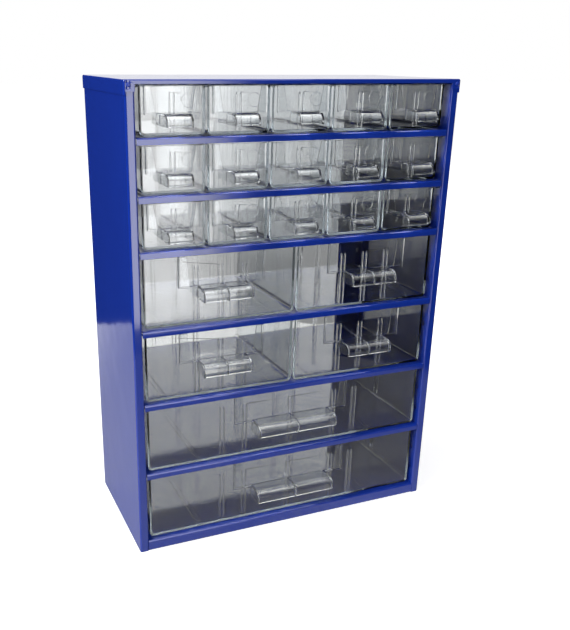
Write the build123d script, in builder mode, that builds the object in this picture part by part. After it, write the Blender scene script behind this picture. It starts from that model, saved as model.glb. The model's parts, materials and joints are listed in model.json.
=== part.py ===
# A small-parts cabinet: a folded sheet-steel case with seven rows of clear drawers.
# X runs from left to right, Y from front to back and Z up, all in millimetres.
# The origin is under the middle of the case and its handles, on the surface that it stands on.

import os

from build123d import *

os.makedirs("parts", exist_ok=True)

# ---- case sizes ----
case_width = 306.0            # across the lid's side skirts
body_depth = 140.3            # face of the front stiles to the lid's rear skirt
module = 22.5                 # pitch of the notches that the shelves hook into
notch_start = 6.5             # middle of the lowest notch above the ground
sheet = 0.8                   # thickness of every steel sheet
bend = 1.2                    # centre-line radius of every fold
fit = 0.1                     # gap between two sheets that lie on each other

stile_width = 8.0             # front flange of a side panel
stile_lip = 11.4              # depth of the lip that returns from the stile
rear_flange = 32.0            # rear flange of a side panel
foot_flange = 13.0            # inward fold under a side panel
notch_height = 4.0            # opening of a notch in the stile lip
notch_depth = 6.4             # how far a notch runs in from the lip's rear edge
wall_hole_radius = 2.5        # screw holes in the rear flanges, for hanging on a wall
wall_hole_inset = 16.0        # from the side panel's face to a screw hole
wall_hole_drop = 30.0         # from the case's top to a screw hole

base_rail = 10.5              # height of the bottom rail and of the base's top face
base_return = 12.0            # inward fold under the bottom rail

lip_height = 5.5              # front and rear lips of a shelf
lip_end_gap = 0.4             # from a lip's end to the stile
hook_play = 0.2               # room above and below a hook in its notch
hook_height = 2.4
hook_reach = 5.6              # how far a shelf's front hooks reach into their notches

lid_rail = 3.5                # height of the lid's front rail between its ears
lid_skirt = 11.5              # height of the lid's side and rear skirts
ear_height = 9.0              # height of the lid's front ears
dimple_width = 3.8            # oval dimple around a front rivet
dimple_height = 6.6
dimple_depth = 0.3
rivet_drop = 3.9              # from the lid's top to the middle of a front rivet
rivet_inset = 3.9             # from the lid's side to the middle of a front rivet
rear_rivet_drop = 6.5
rear_rivet_inset = 20.0
rivet_head_radius = 1.6
rivet_head_height = 0.7
rivet_shank_radius = 1.0
rivet_play = 0.05             # radial room around a rivet's shank
rivet_tail = 0.8              # shank left standing behind the sheets

# ---- drawer sizes ----
column_gap = 2.0              # between two drawers side by side
side_margin = 12.0            # from the lid's side to the outermost drawer
drawer_recess = 5.0           # drawer faces behind the stiles' front
headroom = 1.5                # clear height above a drawer, together with its running gap
running_gap = 0.2             # between a runner and the shelf under it
rear_gap = 0.8                # from a drawer's rear wall to the rear flanges
drawer_wall = 2.0
drawer_corner = 4.0           # lower corners of a drawer's front outline
face_round = 0.8              # rounding around a drawer's face
runner_height = 0.6
runner_width = 4.0
runner_inset = 9.0            # from a drawer's face to the front end of a runner

handle_depth = 19.0           # how far a handle stands out from its drawer's face
handle_wall = 1.6
handle_radius = 6.5           # centre-line radius of the handle's bend
handle_curl = 0.6             # how far the handle's tip turns back in
curl_height = 1.6             # height of the turned tip
curl_radius = 0.8
cheek = 1.4                   # thickness of a handle's end cheeks and middle rib

label_proud = 2.6             # how far a label pocket stands out from the face
label_flange = 1.0            # thickness of the flange that holds the label
label_web = 1.2               # thickness of the pocket's side walls
label_ledge = 1.3             # thickness of the pocket's ledge

slot_rib = 1.0                # thickness of the ribs that hold a divider
slot_rib_proud = 1.8
slot_pitch = 3.8              # between the two ribs of a pair
slot_point = 2.5              # height of a rib's pointed end

ejector_radius = 5.5          # round mark left by an ejector, on the inside of a small drawer's face
ejector_proud = 0.2

drawer_kinds = {
    "small": {
        "columns": 5, "modules": 2, "side_slack": 1.0,
        "handle_width": 22.0, "handle_rise": 17.8, "handle_drop": 9.4, "handle_ribs": [],
        "label_margin": 3.9, "label_top": 5.0, "label_foot": 9.0, "runner_margin": 8.2,
        "slots": [0.0], "slot_drop": 5.0, "side_slots": [], "ejector_marks": [(13.5, 27.0)],
    },
    "medium": {
        "columns": 2, "modules": 3, "side_slack": 0.0,
        "handle_width": 45.5, "handle_rise": 34.8, "handle_drop": 10.8, "handle_ribs": [0.0],
        "label_margin": 30.5, "label_top": 7.0, "label_foot": 10.0, "runner_margin": 18.0,
        "slots": [-22.5, 0.0, 22.5], "slot_drop": 9.7, "side_slots": [], "ejector_marks": [],
    },
    "large": {
        "columns": 1, "modules": 3, "side_slack": 0.0,
        "handle_width": 80.0, "handle_rise": 34.8, "handle_drop": 11.2, "handle_ribs": [0.0],
        "label_margin": 83.0, "label_top": 7.0, "label_foot": 10.0, "runner_margin": 50.0,
        "slots": [-69.3, -46.8, 0.0, 46.8, 69.3], "slot_drop": 9.0, "side_slots": [70.0],
        "ejector_marks": [],
    },
}
rows = ["small", "small", "small", "medium", "medium", "large", "large"]   # from the top down

# ---- places worked out from the sizes ----
skin = sheet + fit
half_sheet = sheet / 2
total_modules = sum(drawer_kinds[kind]["modules"] for kind in rows)
case_height = notch_start + module * total_modules + lid_rail

handle_reach = handle_depth - drawer_recess       # a handle's tip in front of the stiles
front = handle_reach - (handle_reach + body_depth + rivet_head_height) / 2
back = front + body_depth
side_face = case_width / 2 - skin                 # outer face of a side panel
lip_face = side_face - stile_width                # face of the stile lip, towards the drawers
lip_end = front + stile_lip
rear_face = back - skin                           # outer face of the rear flanges
rear_inside = rear_face - sheet
panel_top = case_height - bend - half_sheet - fit   # under the rounding inside the lid

foot_start = front + bend + sheet                 # the foot flange starts behind the stile's fold
foot_end = rear_inside - fit
wall_hole_x = side_face - wall_hole_inset
wall_hole_z = case_height - wall_hole_drop

drawer_face = front + drawer_recess
drawer_back = rear_inside - rear_gap
drawer_depth = drawer_back - drawer_face
notch_heights = [notch_start + module * step for step in range(total_modules)]


def fold_outline(points):
    """Draw a sheet's section along its centre line, with every fold rounded."""
    with BuildLine() as centre_line:
        FilletPolyline(*points, radius=bend)
    trace(centre_line.edges(), line_width=sheet)


# ---- side panels ----
def make_side_panels():
    with BuildPart() as left:
        with BuildSketch(Plane.XY):
            fold_outline([
                (rear_flange - side_face, rear_face - half_sheet),
                (half_sheet - side_face, rear_face - half_sheet),
                (half_sheet - side_face, front + half_sheet),
                (-lip_face - half_sheet, front + half_sheet),
                (-lip_face - half_sheet, lip_end),
            ])
        extrude(amount=panel_top)

        # fold under the panel, which the case stands on
        with BuildSketch(Plane.XY):
            with Locations((-side_face + half_sheet, foot_start)):
                Rectangle(foot_flange - half_sheet, foot_end - foot_start, align=(Align.MIN, Align.MIN))
        extrude(amount=sheet)

        # notches in the stile lip, open to the rear
        with BuildSketch(Plane.YZ.offset(-lip_face - 2 * sheet)):
            for height in notch_heights:
                with Locations((lip_end, height)):
                    Rectangle(2 * notch_depth, notch_height)
        extrude(amount=3 * sheet, mode=Mode.SUBTRACT)

        # slots in the rear flange, in line with the notches
        with BuildSketch(Plane.XZ.offset(-rear_face)):
            for height in notch_heights:
                with Locations((-lip_face - half_sheet, height)):
                    Rectangle(sheet + 4 * fit, notch_height)
        extrude(amount=2 * sheet, both=True, mode=Mode.SUBTRACT)

        # holes for the wall screw and for the two rivets
        with BuildSketch(Plane.XZ.offset(-rear_face)):
            with Locations((-wall_hole_x, wall_hole_z)):
                Circle(wall_hole_radius)
            with Locations((rear_rivet_inset - case_width / 2, case_height - rear_rivet_drop)):
                Circle(rivet_shank_radius + rivet_play)
        extrude(amount=2 * sheet, both=True, mode=Mode.SUBTRACT)
        with BuildSketch(Plane.XZ.offset(-front)):
            with Locations((rivet_inset - case_width / 2, case_height - rivet_drop)):
                Circle(rivet_shank_radius + rivet_play)
        extrude(amount=2 * sheet, both=True, mode=Mode.SUBTRACT)
    left.part.label = "left_side_panel"
    export_step(left.part, "parts/left_side_panel.step")

    with BuildPart() as right:
        mirror(left.part, about=Plane.YZ)
    right.part.label = "right_side_panel"
    export_step(right.part, "parts/right_side_panel.step")


# ---- base ----
def make_base_panel():
    tray_side = side_face - sheet - bend          # the tray stands between the side panels
    tray_back = rear_inside - fit
    floor_middle = base_rail - half_sheet
    with BuildPart() as base:
        with BuildSketch(Plane.YZ.offset(-tray_side)):
            fold_outline([
                (front + base_return, half_sheet),
                (front + half_sheet, half_sheet),
                (front + half_sheet, floor_middle),
                (tray_back - half_sheet, floor_middle),
                (tray_back - half_sheet, skin),
            ])
        extrude(amount=2 * tray_side)

        # side flanges that stand on the foot flanges of the side panels
        with BuildSketch(Plane.XY.offset(skin)):
            for side in (-1, 1):
                with Locations((side * (tray_side - half_sheet), (lip_end + tray_back) / 2)):
                    Rectangle(sheet, tray_back - lip_end)
        extrude(amount=floor_middle - skin)

        # the front passes between the stile lips
        with BuildSketch(Plane.XY.offset(-sheet)):
            for side in (-1, 1):
                with Locations((side * (lip_face + stile_width / 2), front + stile_lip / 2)):
                    Rectangle(stile_width, stile_lip + 4 * fit)
        extrude(amount=base_rail + 2 * sheet, mode=Mode.SUBTRACT)

        # the fold under the rail stops short of the foot flanges
        with BuildSketch(Plane.XY.offset(-sheet)):
            for side in (-1, 1):
                with Locations((side * side_face, foot_start)):
                    Rectangle(2 * (foot_flange + lip_end_gap), 4 * stile_lip, align=(Align.CENTER, Align.MIN))
        extrude(amount=2 * sheet + fit / 2, mode=Mode.SUBTRACT)
    base.part.label = "base_panel"
    export_step(base.part, "parts/base_panel.step")


# ---- shelves ----
def make_shelf(name, top, notch):
    shelf_side = lip_face + sheet                 # side flanges hang in line with the stile lips
    shelf_front = front + half_sheet
    shelf_back = rear_inside - fit
    lip_half = lip_face - lip_end_gap
    hook_foot = notch - notch_height / 2 + hook_play
    flange_start = lip_end + hook_play
    with BuildPart() as shelf:
        with BuildSketch(Plane.YZ.offset(-shelf_side)):
            fold_outline([
                (shelf_front, top - lip_height),
                (shelf_front, top - half_sheet),
                (shelf_back - half_sheet, top - half_sheet),
                (shelf_back - half_sheet, top - lip_height),
            ])
        extrude(amount=2 * shelf_side)

        # the front passes between the stile lips
        with BuildSketch(Plane.XY.offset(top + sheet)):
            for side in (-1, 1):
                with Locations((side * (lip_half + stile_width / 2), front)):
                    Rectangle(stile_width, 2 * (flange_start - front))
        extrude(amount=-lip_height - 2 * sheet, mode=Mode.SUBTRACT)

        # side flanges, each with a hook at both ends
        for side in (-1, 1):
            with BuildSketch(Plane.YZ.offset(side * (shelf_side - half_sheet))):
                with BuildLine():
                    Polyline(
                        (flange_start, top - half_sheet),
                        (flange_start, hook_foot + hook_height),
                        (lip_end - hook_reach, hook_foot + hook_height),
                        (lip_end - hook_reach, hook_foot),
                        (rear_face, hook_foot),
                        (rear_face, hook_foot + hook_height),
                        (shelf_back - sheet, hook_foot + hook_height),
                        (shelf_back - sheet, top - half_sheet),
                        close=True,
                    )
                make_face()
            extrude(amount=half_sheet, both=True)
    shelf.part.label = name
    export_step(shelf.part, f"parts/{name}.step")


# ---- lid ----
def make_lid():
    lid_front = front - skin
    lid_middle = (lid_front + back) / 2
    lid_depth = back - lid_front
    outer_round = bend + half_sheet
    inner_round = bend - half_sheet
    with BuildPart() as lid:
        with BuildSketch(Plane.XY.offset(case_height - lid_skirt)):
            with Locations((0, lid_middle)):
                RectangleRounded(case_width, lid_depth, outer_round)
        extrude(amount=lid_skirt)
        fillet(lid.faces().sort_by(Axis.Z)[-1].edges(), radius=outer_round)

        with BuildPart(mode=Mode.PRIVATE) as hollow:
            with BuildSketch(Plane.XY.offset(case_height - 2 * lid_skirt)):
                with Locations((0, lid_middle)):
                    RectangleRounded(case_width - 2 * sheet, lid_depth - 2 * sheet, inner_round)
            extrude(amount=2 * lid_skirt - sheet)
            fillet(hollow.faces().sort_by(Axis.Z)[-1].edges(), radius=inner_round)
        add(hollow.part, mode=Mode.SUBTRACT)

        # the front is cut back to a low rail between two ears
        ear_width = case_width / 2 - lip_face
        with BuildSketch(Plane.XZ.offset(-lid_front)):
            with Locations((0, case_height - lid_rail)):
                Rectangle(case_width - 2 * ear_width, lid_skirt, align=(Align.CENTER, Align.MAX))
            with Locations((0, case_height - ear_height)):
                Rectangle(case_width - 2 * outer_round, lid_skirt, align=(Align.CENTER, Align.MAX))
        extrude(amount=2 * sheet, both=True, mode=Mode.SUBTRACT)

        # oval dimples in the ears, and the rivets' holes
        with BuildSketch(Plane.XZ.offset(-lid_front)):
            for side in (-1, 1):
                with Locations((side * (case_width / 2 - rivet_inset), case_height - rivet_drop)):
                    SlotOverall(dimple_height, dimple_width, rotation=90)
        extrude(amount=dimple_depth, both=True, mode=Mode.SUBTRACT)
        for plane, inset, drop in (
            (Plane.XZ.offset(-lid_front), rivet_inset, rivet_drop),
            (Plane.XZ.offset(-back), rear_rivet_inset, rear_rivet_drop),
        ):
            with BuildSketch(plane):
                for side in (-1, 1):
                    with Locations((side * (case_width / 2 - inset), case_height - drop)):
                        Circle(rivet_shank_radius + rivet_play)
            extrude(amount=2 * sheet, both=True, mode=Mode.SUBTRACT)
    lid.part.label = "lid"
    export_step(lid.part, "parts/lid.step")


# ---- rivets ----
def make_lid_rivets():
    shank_length = sheet + skin + rivet_tail
    front_seat = front - skin + dimple_depth
    with BuildPart() as rivets:
        for seat, outward, inset, drop in (
            (front_seat, -1, rivet_inset, rivet_drop),
            (back, 1, rear_rivet_inset, rear_rivet_drop),
        ):
            for side in (-1, 1):
                middle = (side * (case_width / 2 - inset), seat, case_height - drop)
                seat_plane = Plane(origin=middle, x_dir=(1, 0, 0), z_dir=(0, outward, 0))
                with BuildSketch(seat_plane):
                    Circle(rivet_head_radius)
                extrude(amount=rivet_head_height)
                with BuildSketch(seat_plane):
                    Circle(rivet_shank_radius)
                extrude(amount=-shank_length)
        heads = rivets.edges().filter_by(GeomType.CIRCLE).group_by(SortBy.RADIUS)[-1]
        fillet(heads.sort_by(Axis.Y)[:2] + heads.sort_by(Axis.Y)[-2:], radius=0.7 * rivet_head_height)
    rivets.part.label = "lid_rivets"
    export_step(rivets.part, "parts/lid_rivets.step")


# ---- drawers ----
def drawer_outline(width, foot, height, corner):
    """Draw a drawer's front outline, or its inside, with two rounded lower corners."""
    with Locations((0, foot)):
        Rectangle(width, height, align=(Align.CENTER, Align.MIN))
    fillet(vertices().group_by(Axis.Y)[0], radius=corner)


def slot_rib_outline(middle, foot, top):
    """Draw one pointed rib, standing on the drawer's floor."""
    half = slot_rib / 2
    with BuildLine() as outline:
        Polyline(
            (middle - half, foot),
            (middle + half, foot),
            (middle + half, top - slot_point),
            (middle, top),
            (middle - half, top - slot_point),
            close=True,
        )
    make_face(outline.edges())


def make_drawer(name, kind, width, centre_x, shelf_top):
    size = drawer_kinds[kind]
    height = size["modules"] * module - lip_height - headroom
    corner = (centre_x, drawer_face, shelf_top + running_gap)
    floor_plane = Plane(origin=corner)
    face_plane = Plane(origin=corner, x_dir=(1, 0, 0), z_dir=(0, -1, 0))
    side_plane = Plane(origin=corner, x_dir=(0, 1, 0), z_dir=(1, 0, 0))
    inside_foot = runner_height + drawer_wall

    with BuildPart() as drawer:
        # box, with its edges rounded around the face
        with BuildSketch(face_plane):
            drawer_outline(width, runner_height, height - runner_height, drawer_corner)
        extrude(amount=-drawer_depth)
        face_edges = drawer.faces().sort_by(Axis.Y)[0].edges()
        fillet(face_edges.sort_by(lambda edge: edge.center().Z)[:-1], radius=face_round)
        with BuildSketch(face_plane.offset(-drawer_wall)):
            drawer_outline(width - 2 * drawer_wall, inside_foot, height, drawer_corner - drawer_wall)
        extrude(amount=2 * drawer_wall - drawer_depth, mode=Mode.SUBTRACT)

        # two runners under the floor
        runner_length = drawer_depth - 2 * runner_inset
        runner_x = width / 2 - size["runner_margin"]
        with BuildSketch(floor_plane):
            with Locations((-runner_x, drawer_depth / 2), (runner_x, drawer_depth / 2)):
                Rectangle(runner_width, runner_length)
        extrude(amount=runner_height + drawer_wall / 2)

        # pointed ribs in pairs, on the inside of the front and rear walls
        slot_top = height - size["slot_drop"]
        for depth in (drawer_wall / 2, drawer_depth - drawer_wall - slot_rib_proud):
            with BuildSketch(face_plane.offset(-depth)):
                for offset in size["slots"]:
                    for half_pitch in (-slot_pitch / 2, slot_pitch / 2):
                        slot_rib_outline(offset + half_pitch, inside_foot - drawer_wall / 2, slot_top)
            extrude(amount=-slot_rib_proud - drawer_wall / 2)

        # the same on the side walls of a wide drawer
        for offset in size["side_slots"]:
            for wall_x in (-width / 2 + drawer_wall / 2, width / 2 - drawer_wall - slot_rib_proud):
                with BuildSketch(side_plane.offset(wall_x)):
                    for half_pitch in (-slot_pitch / 2, slot_pitch / 2):
                        slot_rib_outline(offset + half_pitch, drawer_corner + drawer_wall, slot_top)
                extrude(amount=slot_rib_proud + drawer_wall / 2)

        # round ejector marks on the inside of the front wall
        if size["ejector_marks"]:
            with BuildSketch(face_plane.offset(-drawer_wall / 2)):
                with Locations(*size["ejector_marks"]):
                    Circle(ejector_radius)
            extrude(amount=-drawer_wall / 2 - ejector_proud)

        # label pocket: two flanges on side walls, and a ledge in line with the handle's top
        rise = size["handle_rise"]
        pocket_side = width / 2 - size["label_margin"]
        with BuildSketch(face_plane.offset(label_proud - label_flange)):
            for side in (-1, 1):
                with BuildLine():
                    Polyline(
                        (side * pocket_side, rise - label_ledge),
                        (side * (pocket_side - size["label_foot"]), rise - label_ledge),
                        (side * (pocket_side - size["label_top"]), height),
                        (side * pocket_side, height),
                        close=True,
                    )
                make_face()
        extrude(amount=label_flange)
        with BuildSketch(face_plane.offset(-drawer_wall / 2)):
            for side in (-1, 1):
                with Locations((side * (pocket_side - label_web / 2), rise - label_ledge)):
                    Rectangle(label_web, height - rise + label_ledge, align=(Align.CENTER, Align.MIN))
            with Locations((0, rise)):
                Rectangle(2 * pocket_side, label_ledge, align=(Align.CENTER, Align.MAX))
        extrude(amount=label_proud + drawer_wall / 2)

        # handle: a hood that bends down at its front, closed by cheeks
        tip = rise - size["handle_drop"]
        handle_side = size["handle_width"] / 2
        hood_front = handle_wall / 2 - handle_depth
        hood_top = rise - handle_wall / 2
        hood_points = [
            (drawer_wall / 2, hood_top),
            (hood_front, hood_top),
            (hood_front, tip + curl_height),
            (hood_front + handle_curl, tip),
        ]
        hood_room = hood_top - tip - curl_height - curl_radius / 2
        hood_radii = [min(handle_radius, hood_room), curl_radius]
        with BuildSketch(side_plane.offset(-handle_side)):
            with BuildLine():
                FilletPolyline(*hood_points, radius=hood_radii)
            trace(line_width=handle_wall)
        extrude(amount=2 * handle_side)
        cheek_places = [-handle_side, handle_side - cheek]
        cheek_places += [offset - cheek / 2 for offset in size["handle_ribs"]]
        for place in cheek_places:
            with BuildSketch(side_plane.offset(place)):
                with BuildLine():
                    hood_line = FilletPolyline(*hood_points, radius=hood_radii)
                    Polyline(hood_line @ 1, (drawer_wall / 2, tip), hood_line @ 0)
                make_face()
            extrude(amount=cheek)
    drawer.part.label = name
    export_step(drawer.part, f"parts/{name}.step")


# ---- the whole cabinet ----
def make_rows():
    modules_below = total_modules
    for row, kind in enumerate(rows, start=1):
        size = drawer_kinds[kind]
        modules_below -= size["modules"]
        notch = notch_start + module * modules_below
        is_lowest = row == len(rows)
        shelf_top = base_rail if is_lowest else notch + lip_height
        if not is_lowest:
            make_shelf(f"shelf_{row}", shelf_top, notch)

        columns = size["columns"]
        row_width = case_width - 2 * (side_margin + size["side_slack"])
        width = (row_width - (columns - 1) * column_gap) / columns
        for column in range(columns):
            centre_x = (column - (columns - 1) / 2) * (width + column_gap)
            name = f"{kind}_drawer_{row}" if columns == 1 else f"{kind}_drawer_{row}_{column + 1}"
            make_drawer(name, kind, width, centre_x, shelf_top)


make_side_panels()
make_base_panel()
make_lid()
make_lid_rivets()
make_rows()
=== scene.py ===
import json
import math

import bpy
from mathutils import Matrix, Vector

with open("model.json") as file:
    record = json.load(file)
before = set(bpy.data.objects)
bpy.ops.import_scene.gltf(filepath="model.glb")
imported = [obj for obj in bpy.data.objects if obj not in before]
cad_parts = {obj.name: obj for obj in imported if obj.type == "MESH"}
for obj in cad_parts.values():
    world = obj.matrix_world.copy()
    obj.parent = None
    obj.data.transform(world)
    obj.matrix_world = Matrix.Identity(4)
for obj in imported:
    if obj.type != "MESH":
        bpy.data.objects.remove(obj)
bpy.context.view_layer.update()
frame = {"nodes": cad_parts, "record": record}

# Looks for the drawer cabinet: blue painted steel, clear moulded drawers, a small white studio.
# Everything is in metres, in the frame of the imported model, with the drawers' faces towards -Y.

cadNodes = frame["nodes"]
slotOf = {part["node"]: part["material_slot"] for part in frame["record"]["subparts"]}
mm = 0.001
toRight, toBack, upwards = (1, 0, 0), (0, 1, 0), (0, 0, 1)
print("frame loaded:", len(cadNodes), "nodes")


# helpers for the materials

class Wire:
    # one socket of a material; arithmetic with it adds Math nodes
    def __init__(self, shader, socket):
        self.shader = shader
        self.socket = socket

    def maths(self, operation, first, second):
        return self.shader.add("ShaderNodeMath", {"operation": operation}, {0: first, 1: second})

    def __add__(self, other):
        return self.maths("ADD", self, other)

    def __sub__(self, other):
        return self.maths("SUBTRACT", self, other)

    def __rsub__(self, other):
        return self.maths("SUBTRACT", other, self)

    def __mul__(self, other):
        return self.maths("MULTIPLY", self, other)

    __radd__ = __add__
    __rmul__ = __mul__


class Shader:
    # a material's node tree, built one node at a time
    def __init__(self, name):
        self.material = bpy.data.materials.new(name)
        self.material.use_nodes = True
        self.tree = self.material.node_tree
        self.tree.nodes.clear()

    def add(self, kind, settings=None, sockets=None, out=0):
        # settings come first, then the values or links of the sockets; gives the output asked for
        node = self.tree.nodes.new(kind)
        for name, value in (settings or {}).items():
            if name == "stops":
                self.setStops(node.color_ramp, value)
            else:
                setattr(node, name, value)
        for name, value in (sockets or {}).items():
            if isinstance(value, Wire):
                self.tree.links.new(value.socket, node.inputs[name])
            else:
                node.inputs[name].default_value = value
        return Wire(self, node.outputs[out]) if node.outputs else None

    def setStops(self, ramp, stops):
        for element, (place, shade) in zip(ramp.elements, stops):
            element.position = place
            element.color = (shade, shade, shade, 1)

    def ramp(self, value, span):
        # 0 up to the first end of the span, 1 from the second
        return self.add("ShaderNodeValToRGB", {"stops": [(span[0], 0), (span[1], 1)]}, {"Fac": value})

    def place(self, stretch=None):
        # a point's place, in the model's frame at rest, stretched if asked
        coords = self.add("ShaderNodeTexCoord", out="Object")
        if stretch is None:
            return coords
        return self.add("ShaderNodeVectorMath", {"operation": "MULTIPLY"}, {0: coords, 1: stretch})

    def noise(self, perMetre, detail, roughness=0.5, stretch=None):
        return self.add("ShaderNodeTexNoise", {}, {
            "Vector": self.place(stretch), "Scale": perMetre,
            "Detail": detail, "Roughness": roughness})

    def blend(self, share, first, second):
        # inputs 0, 6 and 7 are the share and the two colours, and output 2 is their mix
        return self.add("ShaderNodeMix", {"data_type": "RGBA"}, {0: share, 6: first, 7: second}, out=2)

    def bump(self, height, distance, normal=None):
        sockets = {"Height": height, "Distance": distance}
        if normal is not None:
            sockets["Normal"] = normal
        return self.add("ShaderNodeBump", {}, sockets)

    def dot(self, first, second):
        return self.add("ShaderNodeVectorMath", {"operation": "DOT_PRODUCT"}, {0: first, 1: second},
                        out="Value")

    def rise(self, value, span, ends=(0, 1)):
        # goes smoothly from one of the ends to the other while the value crosses the span
        return self.add("ShaderNodeMapRange", {"interpolation_type": "SMOOTHSTEP"}, {
            "Value": value, "From Min": span[0], "From Max": span[1],
            "To Min": ends[0], "To Max": ends[1]})

    def along(self, direction, span, ends=(0, 1), extra=0):
        # the same for how far a point lies along a direction
        return self.rise(self.dot(self.place(), direction) + extra, span, ends)

    def edgeMask(self, radius, samples, span):
        # 1 where an edge turns within the radius, 0 on flat stretches
        rounded = self.add("ShaderNodeBevel", {"samples": samples}, {"Radius": radius})
        flat = self.add("ShaderNodeNewGeometry", out="Normal")
        return self.ramp(1 - self.dot(rounded, flat), span)

    def finish(self, sockets, inside=None):
        ends = {"Surface": self.add("ShaderNodeBsdfPrincipled", {}, sockets)}
        if inside:
            ends["Volume"] = self.add("ShaderNodeVolumeAbsorption", {}, inside)
        self.add("ShaderNodeOutputMaterial", {}, ends)
        return self.material

    def shine(self, glow, strength=1.0):
        # a surface that only gives off light
        light = self.add("ShaderNodeEmission", {}, {"Color": glow, "Strength": strength})
        self.add("ShaderNodeOutputMaterial", {}, {"Surface": light})
        return self.material


# painted steel

paint = {
    "blue": (0.0076, 0.0345, 0.330, 1), "blueDeep": (0.0067, 0.0300, 0.300, 1),
    # a lighter blue on the edges, partly wear and partly a painted highlight along the folds
    "wornAndHighlitBlue": (0.020, 0.050, 0.380, 1), "wearAndHighlight": 0.5, "wearAndHighlightRoughness": 0.2,
    "gloss": 0.09, "glossChange": 0.06, "ior": 1.75,
    "edgeRadius": 0.5 * mm, "edgeSamples": 6, "edgeTurn": (0.02, 0.22),
    # patterns: how many to a metre, detail, roughness
    "patches": (9, 3), "scuffsAndHighlights": (160, 6, 0.7), "dust": (55, 5, 0.65), "swell": (26, 1), "peel": (420, 2),
    "scuffAndHighlightRange": (0.52, 0.66), "swellDepth": 0.30 * mm, "peelDepth": 0.010 * mm,
}


def makePaint():
    shader = Shader("blue_paint")
    edge = shader.edgeMask(paint["edgeRadius"], paint["edgeSamples"], paint["edgeTurn"])
    scuffsAndHighlights = shader.ramp(shader.noise(*paint["scuffsAndHighlights"]), paint["scuffAndHighlightRange"])
    # lighter blue on the turned edges: partly wear, partly a painted highlight along the folds
    wearAndHighlight = edge * scuffsAndHighlights * paint["wearAndHighlight"]
    colour = shader.blend(shader.noise(*paint["patches"]), paint["blueDeep"], paint["blue"])
    colour = shader.blend(wearAndHighlight, colour, paint["wornAndHighlitBlue"])
    dust = shader.noise(*paint["dust"]) - 0.5   # to both sides of the middle
    roughness = paint["gloss"] + dust * paint["glossChange"] + wearAndHighlight * paint["wearAndHighlightRoughness"]
    swell = shader.bump(shader.noise(*paint["swell"]), paint["swellDepth"])
    peel = shader.bump(shader.noise(*paint["peel"]), paint["peelDepth"], normal=swell)
    return shader.finish({
        "Base Color": colour, "Roughness": roughness, "Normal": peel,
        "IOR": paint["ior"]})


# thinner, duller paint in the pressed rivet heads

rivet = {
    "blue": (0.008, 0.036, 0.380, 1), "rubbed": (0.016, 0.065, 0.480, 1),
    "gloss": 0.34, "rubbedRoughness": 0.1,
    "rubs": (900, 3, 0.6), "rubRange": (0.45, 0.65),
    "pits": (1500, 2), "pitDepth": 0.006 * mm,
}


def makeRivetPaint():
    shader = Shader("rivet_paint")
    rubs = shader.ramp(shader.noise(*rivet["rubs"]), rivet["rubRange"])
    return shader.finish({
        "Base Color": shader.blend(rubs, rivet["blue"], rivet["rubbed"]),
        "Roughness": rivet["gloss"] + rubs * rivet["rubbedRoughness"],
        "Normal": shader.bump(shader.noise(*rivet["pits"]), rivet["pitDepth"])})


# clear moulded plastic

clear = {
    "body": (0.945, 0.955, 0.960, 1), "bodyDull": (0.900, 0.912, 0.920, 1),
    "ior": 1.50,
    "tint": {"Color": (0.50, 0.55, 0.58, 1), "Density": 20.0},   # dims light that runs along a wall
    "gloss": 0.015, "smudge": 0.06,
    "smudges": (38, 4, 0.6), "smudgeRange": (0.45, 0.75),
    "marks": {
        # upright marks of the flow in the mould: how many to a metre, detail, upward share of that, depth
        "flow": (30, 2, 0.12, 0.12 * mm),
        "ripple": (170, 2, 0.08, 0.040 * mm),
        "streak": (420, 1, 0.03, 0.040 * mm),
    },
}


def makeClear():
    shader = Shader("clear_plastic")
    smudges = shader.ramp(shader.noise(*clear["smudges"]), clear["smudgeRange"])
    wave = None
    for perMetre, detail, upShare, depth in clear["marks"].values():
        marks = shader.noise(perMetre, detail, stretch=(1, 1, upShare))
        wave = shader.bump(marks, depth, normal=wave)
    return shader.finish({
        "Base Color": shader.blend(smudges, clear["body"], clear["bodyDull"]),
        "Roughness": clear["gloss"] + smudges * clear["smudge"],
        "Normal": wave,
        "IOR": clear["ior"], "Transmission Weight": 1.0}, inside=clear["tint"])


finishes = {"painted_steel": makePaint(), "clear_plastic": makeClear(), "rivet_steel": makeRivetPaint()}
print("materials made:", len(finishes))


# every CAD node gets its finish and soft edges

edges = {
    "rounds": {"painted_steel": 0.12 * mm, "clear_plastic": 0.22 * mm, "rivet_steel": 0.05 * mm},
    "segments": {"painted_steel": 2, "clear_plastic": 2, "rivet_steel": 1},
    "angle": math.radians(32),   # only turns sharper than this are rounded
    "weld": 0.001 * mm,
}


def softenEdges(piece, slot):
    weld = piece.modifiers.new("weld", "WELD")
    weld.merge_threshold = edges["weld"]
    bevel = piece.modifiers.new("edges", "BEVEL")
    bevel.width = edges["rounds"][slot]
    bevel.segments = edges["segments"][slot]
    bevel.limit_method = "ANGLE"
    bevel.angle_limit = edges["angle"]
    bevel.use_clamp_overlap = False
    bevel.miter_outer = "MITER_ARC"
    piece.modifiers.new("normals", "WEIGHTED_NORMAL")


for name, piece in cadNodes.items():
    slot = slotOf[name]
    piece.data.materials.clear()
    piece.data.materials.append(finishes[slot])
    softenEdges(piece, slot)
print("finishes and edges on", len(cadNodes), "pieces")


# the studio: what lies or shines round the cabinet

def hideFrom(piece, *rays):
    for ray in rays:
        setattr(piece, "visible_" + ray, False)


def makeCard(name, corners, material):
    # a flat sheet with the corners given
    mesh = bpy.data.meshes.new(name)
    mesh.from_pydata(corners, [], [tuple(range(len(corners)))])
    mesh.materials.append(material)
    made = bpy.data.objects.new(name, mesh)
    bpy.context.scene.collection.objects.link(made)
    return made


# a round table top under the cabinet, which shows in reflections and through the plastic; painted shade
# makes it darker towards the front right, and painted light makes it lighter behind, where it also glows

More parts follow.
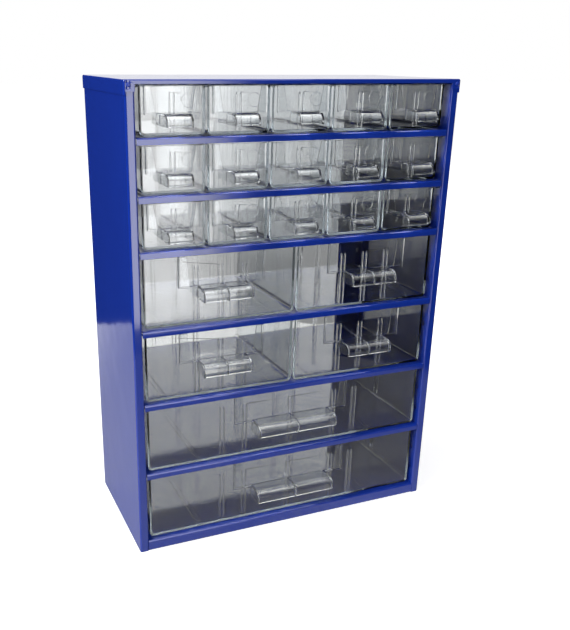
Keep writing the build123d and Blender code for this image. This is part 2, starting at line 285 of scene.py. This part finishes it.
table = {
    "radius": 0.60, "middle": (-0.10, 0.03), "height": -0.6 * mm, "corners": 96,
    "shade": (0.56, 0.56, 0.55, 1), "roughness": 0.6,
    # painted shade at the front right; painted light behind, lighter and glowing
    "right": {"shade": (0.16, 0.16, 0.17, 1), "direction": (0.75, -0.66, 0), "span": (-0.05, 0.33)},
    "behind": {"shade": (0.92, 0.92, 0.90, 1), "direction": (0.9, 0.43, 0), "span": (-0.06, 0.06),
               "glow": 0.22},
    "grain": (14, 3), "paintedBorderShift": 0.02,
}


def makeTable():
    right, behind = table["right"], table["behind"]
    shader = Shader("table_top")
    shift = shader.noise(*table["grain"]) * table["paintedBorderShift"]
    # where the painted shade and the painted light fall, with ragged borders
    paintedShadeShare = shader.along(right["direction"], right["span"], extra=shift)
    paintedLightShare = shader.along(behind["direction"], behind["span"], extra=shift)
    surface = shader.blend(paintedLightShare, table["shade"], behind["shade"])
    surface = shader.blend(paintedShadeShare, surface, right["shade"])
    material = shader.finish({
        "Base Color": surface, "Roughness": table["roughness"],
        "Emission Color": paintedLightShare * behind["glow"], "Emission Strength": 1.0})
    x, y = table["middle"]
    angles = [math.tau * k / table["corners"] for k in range(table["corners"])]
    rim = [(x + table["radius"] * math.cos(angle), y + table["radius"] * math.sin(angle), table["height"])
           for angle in angles]
    hideFrom(makeCard("table", rim, material), "camera")


# the pale floor that the camera alone sees; a painted light glow, weaker near the cabinet, makes it
# lighter away from it

floor = {
    "half": 12.0, "height": -0.3 * mm,
    "shade": (0.92, 0.92, 0.92, 1), "shadeLow": (0.90, 0.90, 0.90, 1), "grain": (3, 2),
    # painted light: how the floor's glow rises with the distance from the cabinet
    "span": (0.35, 0.9), "glow": (0.60, 1.05),
}


def makeFloor():
    shader = Shader("floor_sheet")
    body = shader.add("ShaderNodeBsdfDiffuse", {}, {
        "Color": shader.blend(shader.noise(*floor["grain"]), floor["shade"], floor["shadeLow"])})
    away = shader.add("ShaderNodeVectorMath", {"operation": "LENGTH"}, {0: shader.place()}, out="Value")
    # painted light: the floor glows, less near the cabinet and more away from it
    glow = shader.add("ShaderNodeEmission", {}, {"Color": shader.rise(away, floor["span"], floor["glow"])})
    both = shader.add("ShaderNodeAddShader", {}, {0: body, 1: glow})
    shader.add("ShaderNodeOutputMaterial", {}, {"Surface": both})
    half, z = floor["half"], floor["height"]
    corners = [(-half, -half, z), (half, -half, z), (half, half, z), (-half, half, z)]
    made = makeCard("floor", corners, shader.material)
    hideFrom(made, "glossy", "diffuse", "transmission", "shadow")


# a tall light panel in front, whose sides fade out

panel = {"x": (-0.12, 0.62), "z": (-0.30, 1.50), "y": -1.55, "glow": 3.8, "fade": 0.22}


def makePanel():
    (left, right), (foot, top), y = panel["x"], panel["z"], panel["y"]
    shader = Shader("light_panel")
    share = shader.along(toRight, (right - panel["fade"], right), (1, 0)) * shader.along(
        toRight, (left, left + panel["fade"]))
    corners = [(left, y, foot), (left, y, top), (right, y, top), (right, y, foot)]
    hideFrom(makeCard("light_panel", corners, shader.shine(share, panel["glow"])), "camera")


# a backdrop behind, lighter towards the top

backdrop = {"x": (-0.05, 2.0), "z": (-1.2, 1.4), "y": 1.6, "span": (0.10, 0.65), "glow": (0.34, 1.15)}


def makeBackdrop():
    (left, right), (foot, top), y = backdrop["x"], backdrop["z"], backdrop["y"]
    shader = Shader("backdrop_white")
    glow = shader.along(upwards, backdrop["span"], backdrop["glow"])
    corners = [(left, y, foot), (right, y, foot), (right, y, top), (left, y, top)]
    hideFrom(makeCard("backdrop", corners, shader.shine(glow)), "camera")


# two domes: the dark room that the paint and the plastic reflect, and the bright
# surround that is seen only through the clear plastic

room = {"radius": 3.5, "glow": (0.012, 0.012, 0.012, 1)}
surround = {
    "radius": 3.3, "glow": 1.8,
    "front": (-1.8, -0.4),                                   # dark in front of this span
    "right": (-1.2, 0.8), "rightShares": (0.12, 1),          # bright to the right of this one
    "bandFoot": (-0.6, -0.3), "bandTop": (0.35, 0.85), "bandShare": 0.75,   # a level band on the left
    "overhead": (1.2, 2.8), "overheadGlow": (0.04, 3.6),
}
domeMesh = {"segments": 32, "ring_count": 16}


def makeDome(name, radius, material, hidden):
    bpy.ops.mesh.primitive_uv_sphere_add(radius=radius, **domeMesh)
    dome = bpy.context.object
    dome.name = name
    dome.data.materials.append(material)
    hideFrom(dome, *hidden)


def makeRoom():
    glow = Shader("room_glow").shine(room["glow"])
    makeDome("studio_room", room["radius"], glow, ("camera", "transmission"))


def makeSurround():
    shader = Shader("surround_glow")
    right = shader.along(toRight, surround["right"], surround["rightShares"])
    band = shader.along(upwards, surround["bandFoot"], (0, surround["bandShare"])) * shader.along(
        upwards, surround["bandTop"], (1, 0))
    share = right + band - right * band
    glow = shader.along(toBack, surround["front"]) * share * surround["glow"]
    glow = glow + shader.along(upwards, surround["overhead"], surround["overheadGlow"])
    makeDome("studio_surround", surround["radius"], shader.shine(glow),
             ("camera", "glossy", "diffuse", "shadow"))


lamps = {
    # name: (place, aims at, width, height, power in watts)
    "overhead": ((0.0, -0.2, 1.9), (0.0, 0.0, 0.0), 1.6, 1.6, 16),
    "left_key": ((-1.5, -0.4, 1.0), (-0.1, 0.0, 0.2), 0.9, 1.1, 34),
}


def makeLamp(name, place, aim, width, height, power):
    lamp = bpy.data.lights.new(name, "AREA")
    lamp.shape = "RECTANGLE"
    lamp.size, lamp.size_y = width, height
    lamp.energy = power
    made = bpy.data.objects.new(name, lamp)
    made.location = place
    made.rotation_euler = (Vector(aim) - Vector(place)).to_track_quat("-Z", "Y").to_euler()
    hideFrom(made, "camera")
    bpy.context.scene.collection.objects.link(made)


makeTable()
makeFloor()
makePanel()
makeBackdrop()
makeRoom()
makeSurround()
for name, facts in lamps.items():
    makeLamp(name, *facts)
print("studio set up, with", len(lamps), "lamps")


# world, camera and view

camera = {
    "place": (-0.31357, -0.66796, 0.43222),
    "turn": 22.6665, "tip": 20.4052, "roll": 0.6210,   # degrees: to the right, down, about the view
    "lens": 45.163, "shift": (0.08125, 0.05495), "clip": (0.01, 60),
}
cyclesSettings = {
    # bounces enough for light that runs along inside the plastic walls
    "max_bounces": 64, "transmission_bounces": 48, "glossy_bounces": 56,
    "diffuse_bounces": 5, "transparent_max_bounces": 16,
    "sample_clamp_indirect": 8, "use_denoising": True,
}


def makeWorld():
    # plain white, seen by the camera alone
    world = bpy.data.worlds.new("studio_white")
    bpy.context.scene.world = world
    world.use_nodes = True
    world.node_tree.nodes["Background"].inputs["Color"].default_value = (1, 1, 1, 1)
    world.cycles.sampling_method = "NONE"
    for ray in ("diffuse", "glossy", "transmission", "scatter"):
        setattr(world.cycles_visibility, ray, False)


def makeCamera():
    turn, tip, roll = (math.radians(camera[angle]) for angle in ("turn", "tip", "roll"))
    ahead = Vector((math.sin(turn) * math.cos(tip), math.cos(turn) * math.cos(tip), -math.sin(tip)))
    across = Vector((math.cos(turn), -math.sin(turn), 0))
    upright = across.cross(ahead)
    rolledAcross = across * math.cos(roll) + upright * math.sin(roll)
    rolledUpright = upright * math.cos(roll) - across * math.sin(roll)
    data = bpy.data.cameras.new("camera")
    data.lens = camera["lens"]
    data.shift_x, data.shift_y = camera["shift"]
    data.clip_start, data.clip_end = camera["clip"]
    made = bpy.data.objects.new("camera", data)
    bpy.context.scene.collection.objects.link(made)
    axes = Matrix((rolledAcross, rolledUpright, -ahead)).transposed()
    made.matrix_world = Matrix.Translation(camera["place"]) @ axes.to_4x4()
    bpy.context.scene.camera = made


def setView(scene):
    scene.view_settings.view_transform = "Standard"
    scene.view_settings.look = "None"
    for name, value in cyclesSettings.items():
        setattr(scene.cycles, name, value)


makeWorld()
makeCamera()
setView(bpy.context.scene)
print("world, camera and view")
